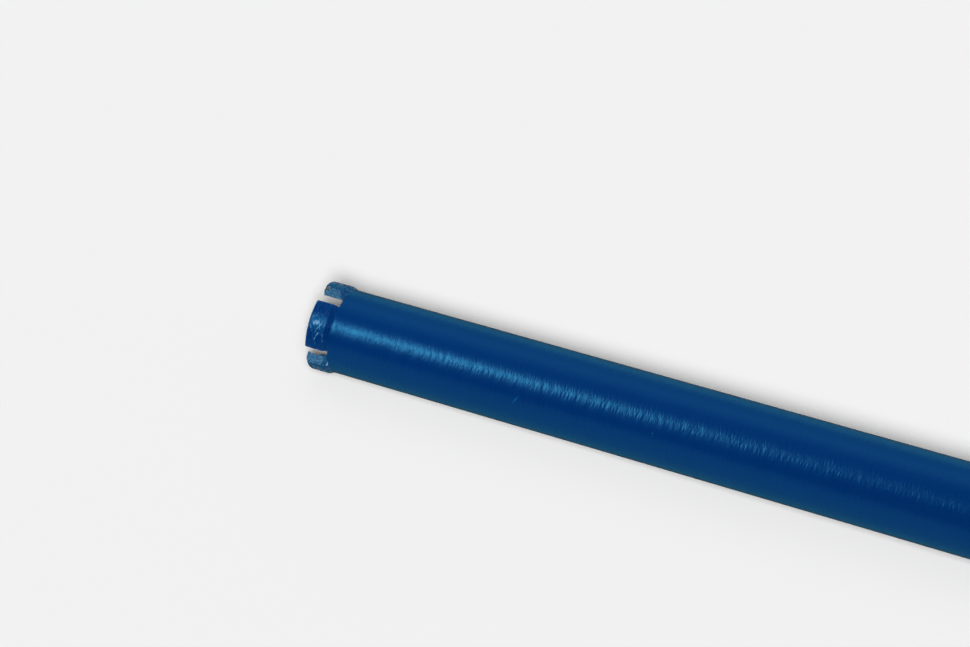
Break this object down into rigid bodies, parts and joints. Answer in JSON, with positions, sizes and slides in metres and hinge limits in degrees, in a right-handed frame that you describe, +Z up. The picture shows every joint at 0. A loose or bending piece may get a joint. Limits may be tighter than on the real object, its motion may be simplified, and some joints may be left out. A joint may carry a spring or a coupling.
{
  "type": "diamond core bit",
  "caption": "Long steel tube with a crown of curved diamond segments at one end and a hexagonal hub with a female thread at the other, for wet drilling.",
  "frame": {"origin": "centre of the hub's mouth, where the drill's spindle enters, on the bit's axis", "axes": "+X along the axis, out of the hub's mouth, so the crown of segments is at the far -X end; +Z up with the bit lying on one flat of its hexagon"},
  "size_m": [0.442, 0.0474, 0.041],
  "materials": {
    "tube_paint": "satin metallic blue paint over steel",
    "diamond_segment": "rough blue paint over sintered metal and diamond grit",
    "hub_paint": "satin metallic blue paint over turned steel, thread left bare",
    "weld_paint": "satin metallic blue paint over a rippled weld"
  },
  "bodies": {
    "root": {"tube": "tube_paint", "segment_1": "diamond_segment", "segment_2": "diamond_segment", "segment_3": "diamond_segment", "segment_4": "diamond_segment", "hub": "hub_paint", "hub_weld": "weld_paint"}
  },
  "joints": []
}
